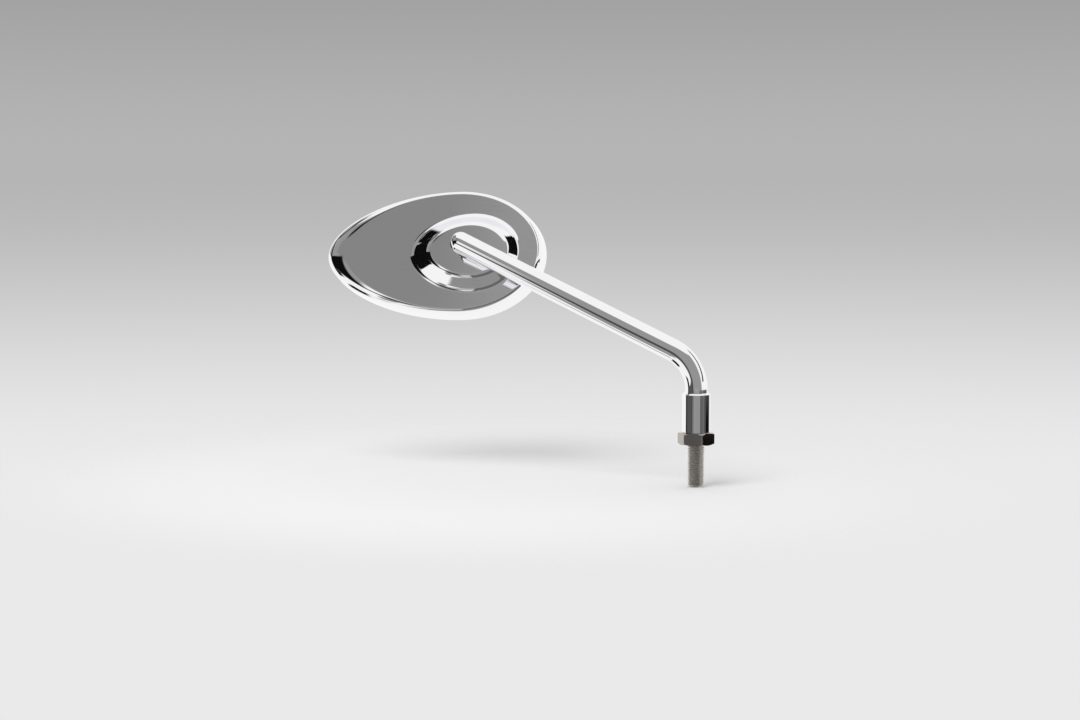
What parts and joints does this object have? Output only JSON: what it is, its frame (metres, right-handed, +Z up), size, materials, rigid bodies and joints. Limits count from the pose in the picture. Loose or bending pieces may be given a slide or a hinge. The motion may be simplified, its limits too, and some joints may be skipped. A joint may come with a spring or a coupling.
{
  "type": "motorcycle mirror",
  "caption": "Egg-shaped chrome rear-view mirror on a bent round stem: a ball joint under the boss sets the head, and a threaded stud with a lock nut fixes the stem to a handlebar clamp.",
  "frame": {"origin": "on the stud's axis, at the lock nut's seating face", "axes": "+Z up along the stud, -Y to the front of the motorcycle (back of the shell), +Y to the rear (glass), -X outboard"},
  "size_m": [0.2324, 0.1174, 0.1704],
  "materials": {
    "chrome_shell": "polished",
    "chrome_stem": "polished",
    "dark_steel": "satin",
    "plain_steel": "satin",
    "spring_steel": "satin",
    "liner": "matte",
    "backing": "matte",
    "foam": "matte",
    "seal": "matte",
    "mirror": "polished"
  },
  "bodies": {
    "nut": {"lock_nut": "dark_steel"},
    "stem": {"stem_foot": "chrome_stem", "stem": "chrome_stem"},
    "ball": {"ball_stud": "plain_steel"},
    "liner": {"front_liner": "liner", "rear_liner": "liner"},
    "head": {"mirror_shell": "chrome_shell", "clamp_plate": "plain_steel", "spring_washers": "spring_steel", "clamp_screws": "plain_steel", "backing_plate": "backing", "glass_pad": "foam", "glass_seal": "seal", "mirror_glass": "mirror"}
  },
  "joints": [
    {"name": "stem_turn", "type": "hinge", "parent": "nut", "child": "stem", "pos_m": [0, 0, 0], "axis": [0, 0, 1], "range_deg": [-180, 180]},
    {"name": "head_spin", "type": "hinge", "parent": "stem", "child": "ball", "pos_m": [-0.13412, 0.06972, 0.10909], "axis": [-0.1907, -0.9371, 0.2924], "range_deg": [-45, 45]},
    {"name": "head_swing", "type": "hinge", "parent": "ball", "child": "liner", "pos_m": [-0.13412, 0.06972, 0.10909], "axis": [0.0326, 0.2916, 0.956], "range_deg": [-10, 10]},
    {"name": "head_tilt", "type": "hinge", "parent": "liner", "child": "head", "pos_m": [-0.13412, 0.06972, 0.10909], "axis": [0.9811, -0.1918, 0.025], "range_deg": [-10, 10]}
  ]
}
